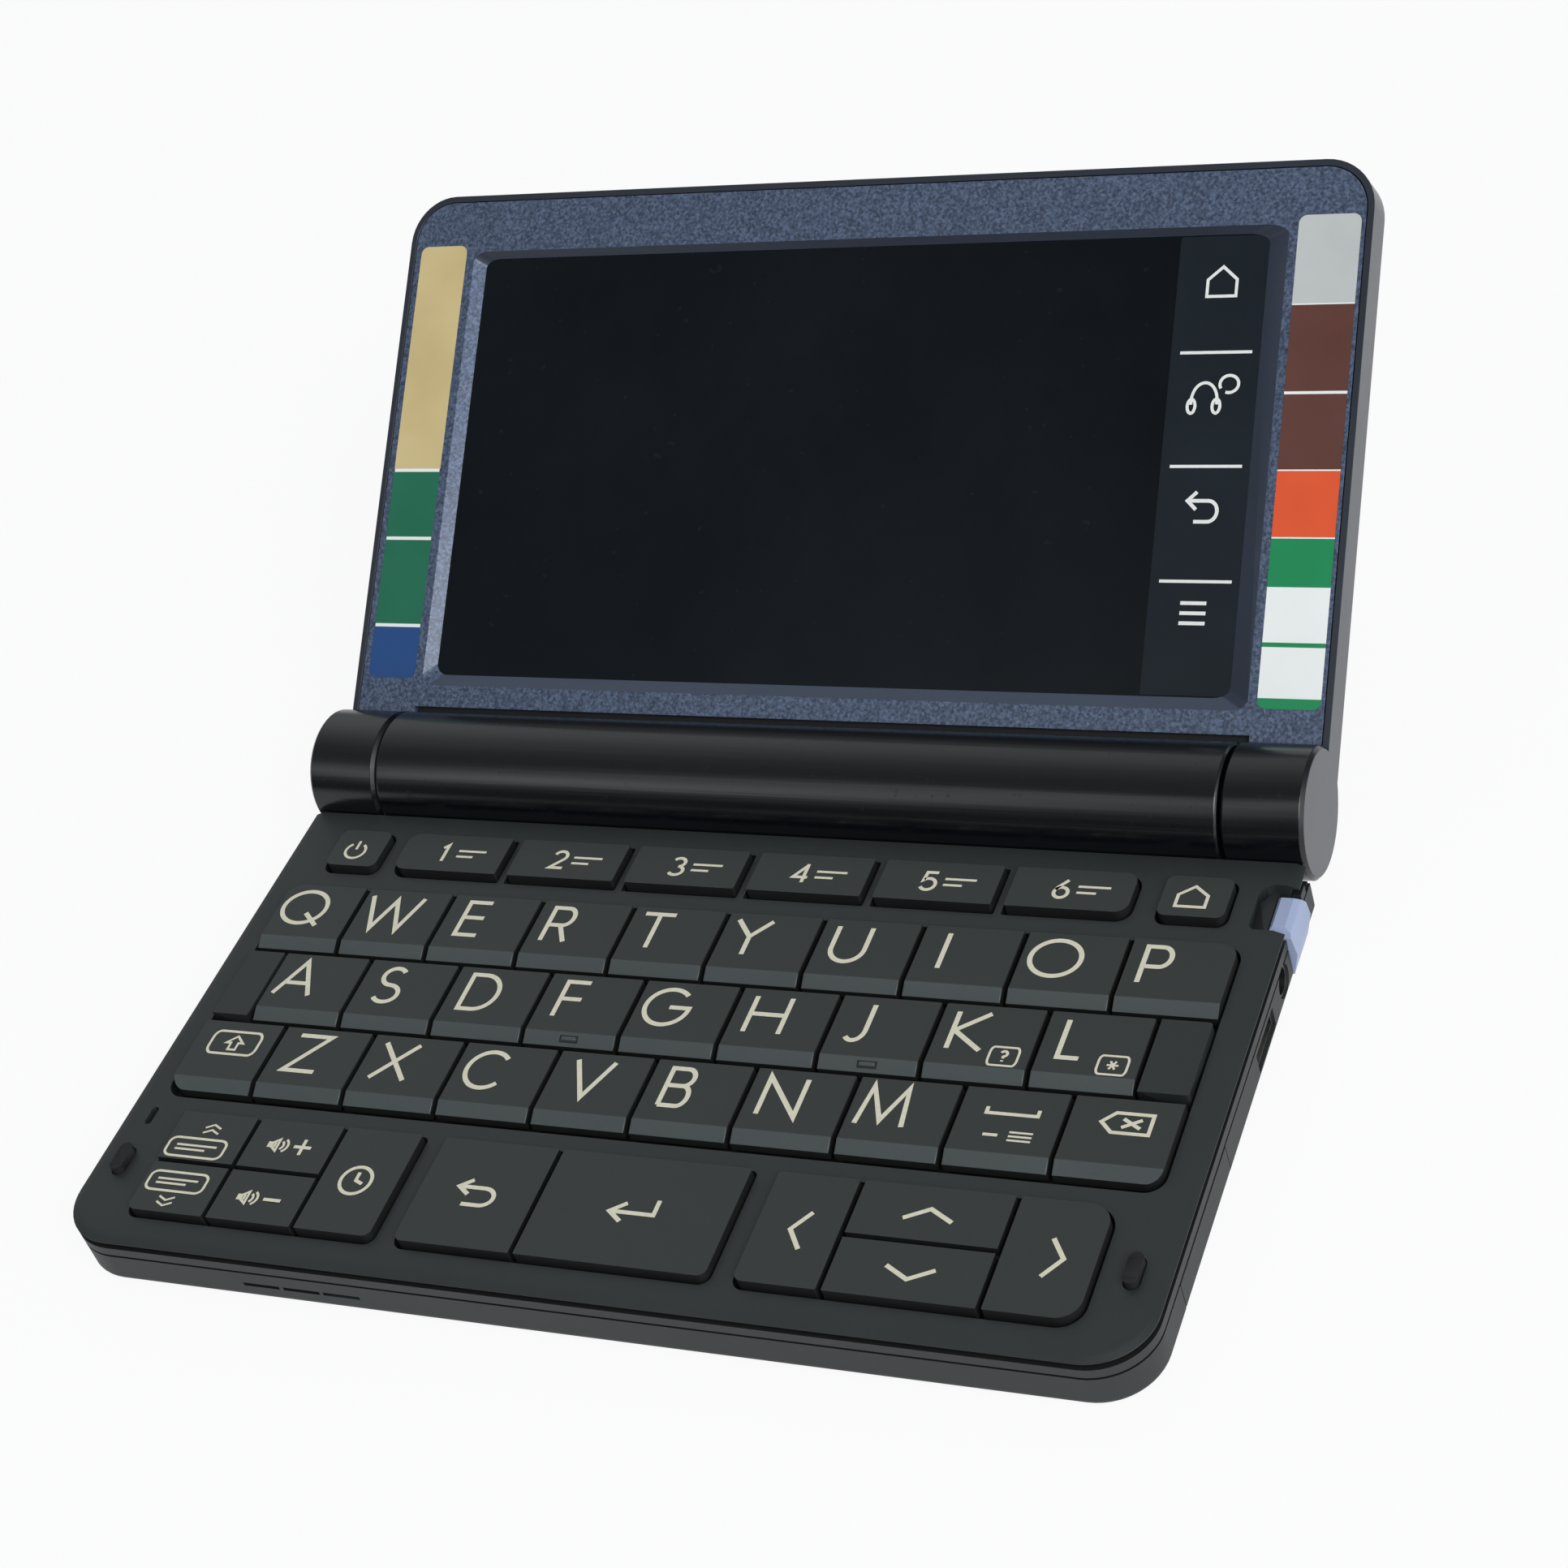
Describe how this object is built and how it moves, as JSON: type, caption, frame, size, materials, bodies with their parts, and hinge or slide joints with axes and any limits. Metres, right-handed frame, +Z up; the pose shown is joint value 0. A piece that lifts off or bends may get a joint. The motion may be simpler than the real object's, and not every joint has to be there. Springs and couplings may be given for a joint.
{
  "type": "electronic dictionary",
  "caption": "Pocket electronic dictionary: thin keyboard base, round battery barrel and hinged display lid, with travelling keys, rockers, a stylus and small doors.",
  "frame": {"origin": "centre of the base's flat underside: mid width, mid depth from the front edge to the barrel's rear", "axes": "+X to the user's right, along the hinge; +Y to the rear; +Z up from the keyboard"},
  "size_m": [0.1489, 0.1625, 0.0622],
  "materials": {
    "case_plastic": "fine matte texture, charcoal",
    "barrel_plastic": "polished, blue black",
    "cover_plastic": "satin, near black",
    "cell_jacket": "plain metal jacket",
    "board": "solder mask on glass epoxy",
    "mat_rubber": "translucent silicone",
    "pen_plastic": "satin, lavender",
    "pad_rubber": "black, soft",
    "pin_steel": "ground",
    "lid_plastic": "painted, dark blue grey",
    "bezel_paint": "metallic blue with fine sparkle",
    "screen": "dark cover over the display",
    "panel": "dark display module",
    "key_plastic": "fine matte, cream legends"
  },
  "bodies": {
    "base": {"base_top_case": "case_plastic", "base_bottom_case": "case_plastic", "hinge_barrel": "barrel_plastic", "battery_cells": "cell_jacket", "circuit_board": "board", "key_mat": "mat_rubber", "rubber_pads": "pad_rubber", "hinge_pins": "pin_steel"},
    "battery_door": {"battery_cover": "cover_plastic"},
    "card_door": {"card_slot_door": "case_plastic"},
    "stylus": {"touch_pen": "pen_plastic"},
    "lid": {"lid_back_cover": "lid_plastic", "lid_bezel": "bezel_paint", "screen_glass": "screen", "lcd_panel": "panel"},
    "key_power_body": {"key_power": "key_plastic"},
    "key_wide_1_body": {"key_wide_1": "key_plastic"},
    "key_wide_2_body": {"key_wide_2": "key_plastic"},
    "key_wide_3_body": {"key_wide_3": "key_plastic"},
    "key_wide_4_body": {"key_wide_4": "key_plastic"},
    "key_wide_5_body": {"key_wide_5": "key_plastic"},
    "key_wide_6_body": {"key_wide_6": "key_plastic"},
    "key_home_body": {"key_home": "key_plastic"},
    "key_q_body": {"key_q": "key_plastic"},
    "key_w_body": {"key_w": "key_plastic"},
    "key_e_body": {"key_e": "key_plastic"},
    "key_r_body": {"key_r": "key_plastic"},
    "key_t_body": {"key_t": "key_plastic"},
    "key_y_body": {"key_y": "key_plastic"},
    "key_u_body": {"key_u": "key_plastic"},
    "key_i_body": {"key_i": "key_plastic"},
    "key_o_body": {"key_o": "key_plastic"},
    "key_p_body": {"key_p": "key_plastic"},
    "key_a_body": {"key_a": "key_plastic"},
    "key_s_body": {"key_s": "key_plastic"},
    "key_d_body": {"key_d": "key_plastic"},
    "key_f_body": {"key_f": "key_plastic"},
    "key_g_body": {"key_g": "key_plastic"},
    "key_h_body": {"key_h": "key_plastic"},
    "key_j_body": {"key_j": "key_plastic"},
    "key_k_body": {"key_k": "key_plastic"},
    "key_l_body": {"key_l": "key_plastic"},
    "key_shift_body": {"key_shift": "key_plastic"},
    "key_z_body": {"key_z": "key_plastic"},
    "key_x_body": {"key_x": "key_plastic"},
    "key_c_body": {"key_c": "key_plastic"},
    "key_v_body": {"key_v": "key_plastic"},
    "key_b_body": {"key_b": "key_plastic"},
    "key_n_body": {"key_n": "key_plastic"},
    "key_m_body": {"key_m": "key_plastic"},
    "key_space_body": {"key_space": "key_plastic"},
    "key_delete_body": {"key_delete": "key_plastic"},
    "key_history_body": {"key_history": "key_plastic"},
    "key_back_body": {"key_back": "key_plastic"},
    "key_enter_body": {"key_enter": "key_plastic"},
    "key_left_body": {"key_left": "key_plastic"},
    "key_right_body": {"key_right": "key_plastic"},
    "rocker_entry_body": {"rocker_entry": "key_plastic"},
    "rocker_volume_body": {"rocker_volume": "key_plastic"},
    "rocker_updown_body": {"rocker_updown": "key_plastic"}
  },
  "joints": [
    {"name": "battery_cover_slide", "type": "slide", "parent": "base", "child": "battery_door", "axis": [0, 0, -1], "range_m": [0, 0.015]},
    {"name": "card_door_open", "type": "hinge", "parent": "base", "child": "card_door", "pos_m": [0.07345, -0.02375, 0.00085], "axis": [0, 1, 0], "range_deg": [0, 75]},
    {"name": "lid_hinge", "type": "hinge", "parent": "base", "child": "lid", "pos_m": [0, 0.04, 0.00875], "axis": [1, 0, 0], "range_deg": [-6, 142.24]},
    {"name": "pen_slide", "type": "slide", "parent": "base", "child": "stylus", "axis": [1, 0, 0], "range_m": [0, 0.097]},
    {"name": "press_key_power", "type": "slide", "parent": "base", "child": "key_power_body", "axis": [0, 0, -1], "range_m": [0, 0.0008], "stiffness_N_per_m": 500},
    {"name": "press_key_wide_1", "type": "slide", "parent": "base", "child": "key_wide_1_body", "axis": [0, 0, -1], "range_m": [0, 0.0008], "stiffness_N_per_m": 500},
    {"name": "press_key_wide_2", "type": "slide", "parent": "base", "child": "key_wide_2_body", "axis": [0, 0, -1], "range_m": [0, 0.0008], "stiffness_N_per_m": 500},
    {"name": "press_key_wide_3", "type": "slide", "parent": "base", "child": "key_wide_3_body", "axis": [0, 0, -1], "range_m": [0, 0.0008], "stiffness_N_per_m": 500},
    {"name": "press_key_wide_4", "type": "slide", "parent": "base", "child": "key_wide_4_body", "axis": [0, 0, -1], "range_m": [0, 0.0008], "stiffness_N_per_m": 500},
    {"name": "press_key_wide_5", "type": "slide", "parent": "base", "child": "key_wide_5_body", "axis": [0, 0, -1], "range_m": [0, 0.0008], "stiffness_N_per_m": 500},
    {"name": "press_key_wide_6", "type": "slide", "parent": "base", "child": "key_wide_6_body", "axis": [0, 0, -1], "range_m": [0, 0.0008], "stiffness_N_per_m": 500},
    {"name": "press_key_home", "type": "slide", "parent": "base", "child": "key_home_body", "axis": [0, 0, -1], "range_m": [0, 0.0008], "stiffness_N_per_m": 500},
    {"name": "press_key_q", "type": "slide", "parent": "base", "child": "key_q_body", "axis": [0, 0, -1], "range_m": [0, 0.0008], "stiffness_N_per_m": 500},
    {"name": "press_key_w", "type": "slide", "parent": "base", "child": "key_w_body", "axis": [0, 0, -1], "range_m": [0, 0.0008], "stiffness_N_per_m": 500},
    {"name": "press_key_e", "type": "slide", "parent": "base", "child": "key_e_body", "axis": [0, 0, -1], "range_m": [0, 0.0008], "stiffness_N_per_m": 500},
    {"name": "press_key_r", "type": "slide", "parent": "base", "child": "key_r_body", "axis": [0, 0, -1], "range_m": [0, 0.0008], "stiffness_N_per_m": 500},
    {"name": "press_key_t", "type": "slide", "parent": "base", "child": "key_t_body", "axis": [0, 0, -1], "range_m": [0, 0.0008], "stiffness_N_per_m": 500},
    {"name": "press_key_y", "type": "slide", "parent": "base", "child": "key_y_body", "axis": [0, 0, -1], "range_m": [0, 0.0008], "stiffness_N_per_m": 500},
    {"name": "press_key_u", "type": "slide", "parent": "base", "child": "key_u_body", "axis": [0, 0, -1], "range_m": [0, 0.0008], "stiffness_N_per_m": 500},
    {"name": "press_key_i", "type": "slide", "parent": "base", "child": "key_i_body", "axis": [0, 0, -1], "range_m": [0, 0.0008], "stiffness_N_per_m": 500},
    {"name": "press_key_o", "type": "slide", "parent": "base", "child": "key_o_body", "axis": [0, 0, -1], "range_m": [0, 0.0008], "stiffness_N_per_m": 500},
    {"name": "press_key_p", "type": "slide", "parent": "base", "child": "key_p_body", "axis": [0, 0, -1], "range_m": [0, 0.0008], "stiffness_N_per_m": 500},
    {"name": "press_key_a", "type": "slide", "parent": "base", "child": "key_a_body", "axis": [0, 0, -1], "range_m": [0, 0.0008], "stiffness_N_per_m": 500},
    {"name": "press_key_s", "type": "slide", "parent": "base", "child": "key_s_body", "axis": [0, 0, -1], "range_m": [0, 0.0008], "stiffness_N_per_m": 500},
    {"name": "press_key_d", "type": "slide", "parent": "base", "child": "key_d_body", "axis": [0, 0, -1], "range_m": [0, 0.0008], "stiffness_N_per_m": 500},
    {"name": "press_key_f", "type": "slide", "parent": "base", "child": "key_f_body", "axis": [0, 0, -1], "range_m": [0, 0.0008], "stiffness_N_per_m": 500},
    {"name": "press_key_g", "type": "slide", "parent": "base", "child": "key_g_body", "axis": [0, 0, -1], "range_m": [0, 0.0008], "stiffness_N_per_m": 500},
    {"name": "press_key_h", "type": "slide", "parent": "base", "child": "key_h_body", "axis": [0, 0, -1], "range_m": [0, 0.0008], "stiffness_N_per_m": 500},
    {"name": "press_key_j", "type": "slide", "parent": "base", "child": "key_j_body", "axis": [0, 0, -1], "range_m": [0, 0.0008], "stiffness_N_per_m": 500},
    {"name": "press_key_k", "type": "slide", "parent": "base", "child": "key_k_body", "axis": [0, 0, -1], "range_m": [0, 0.0008], "stiffness_N_per_m": 500},
    {"name": "press_key_l", "type": "slide", "parent": "base", "child": "key_l_body", "axis": [0, 0, -1], "range_m": [0, 0.0008], "stiffness_N_per_m": 500},
    {"name": "press_key_shift", "type": "slide", "parent": "base", "child": "key_shift_body", "axis": [0, 0, -1], "range_m": [0, 0.0008], "stiffness_N_per_m": 500},
    {"name": "press_key_z", "type": "slide", "parent": "base", "child": "key_z_body", "axis": [0, 0, -1], "range_m": [0, 0.0008], "stiffness_N_per_m": 500},
    {"name": "press_key_x", "type": "slide", "parent": "base", "child": "key_x_body", "axis": [0, 0, -1], "range_m": [0, 0.0008], "stiffness_N_per_m": 500},
    {"name": "press_key_c", "type": "slide", "parent": "base", "child": "key_c_body", "axis": [0, 0, -1], "range_m": [0, 0.0008], "stiffness_N_per_m": 500},
    {"name": "press_key_v", "type": "slide", "parent": "base", "child": "key_v_body", "axis": [0, 0, -1], "range_m": [0, 0.0008], "stiffness_N_per_m": 500},
    {"name": "press_key_b", "type": "slide", "parent": "base", "child": "key_b_body", "axis": [0, 0, -1], "range_m": [0, 0.0008], "stiffness_N_per_m": 500},
    {"name": "press_key_n", "type": "slide", "parent": "base", "child": "key_n_body", "axis": [0, 0, -1], "range_m": [0, 0.0008], "stiffness_N_per_m": 500},
    {"name": "press_key_m", "type": "slide", "parent": "base", "child": "key_m_body", "axis": [0, 0, -1], "range_m": [0, 0.0008], "stiffness_N_per_m": 500},
    {"name": "press_key_space", "type": "slide", "parent": "base", "child": "key_space_body", "axis": [0, 0, -1], "range_m": [0, 0.0008], "stiffness_N_per_m": 500},
    {"name": "press_key_delete", "type": "slide", "parent": "base", "child": "key_delete_body", "axis": [0, 0, -1], "range_m": [0, 0.0008], "stiffness_N_per_m": 500},
    {"name": "press_key_history", "type": "slide", "parent": "base", "child": "key_history_body", "axis": [0, 0, -1], "range_m": [0, 0.0008], "stiffness_N_per_m": 500},
    {"name": "press_key_back", "type": "slide", "parent": "base", "child": "key_back_body", "axis": [0, 0, -1], "range_m": [0, 0.0008], "stiffness_N_per_m": 500},
    {"name": "press_key_enter", "type": "slide", "parent": "base", "child": "key_enter_body", "axis": [0, 0, -1], "range_m": [0, 0.0008], "stiffness_N_per_m": 500},
    {"name": "press_key_left", "type": "slide", "parent": "base", "child": "key_left_body", "axis": [0, 0, -1], "range_m": [0, 0.0008], "stiffness_N_per_m": 500},
    {"name": "press_key_right", "type": "slide", "parent": "base", "child": "key_right_body", "axis": [0, 0, -1], "range_m": [0, 0.0008], "stiffness_N_per_m": 500},
    {"name": "press_rocker_entry", "type": "hinge", "parent": "base", "child": "rocker_entry_body", "pos_m": [0, -0.03562, 0.0065], "axis": [1, 0, 0], "range_deg": [-2.5, 2.5], "stiffness_Nm_per_rad": 0.03},
    {"name": "press_rocker_volume", "type": "hinge", "parent": "base", "child": "rocker_volume_body", "pos_m": [0, -0.03562, 0.0065], "axis": [1, 0, 0], "range_deg": [-2.5, 2.5], "stiffness_Nm_per_rad": 0.03},
    {"name": "press_rocker_updown", "type": "hinge", "parent": "base", "child": "rocker_updown_body", "pos_m": [0, -0.03562, 0.0065], "axis": [1, 0, 0], "range_deg": [-2.5, 2.5], "stiffness_Nm_per_rad": 0.03}
  ]
}
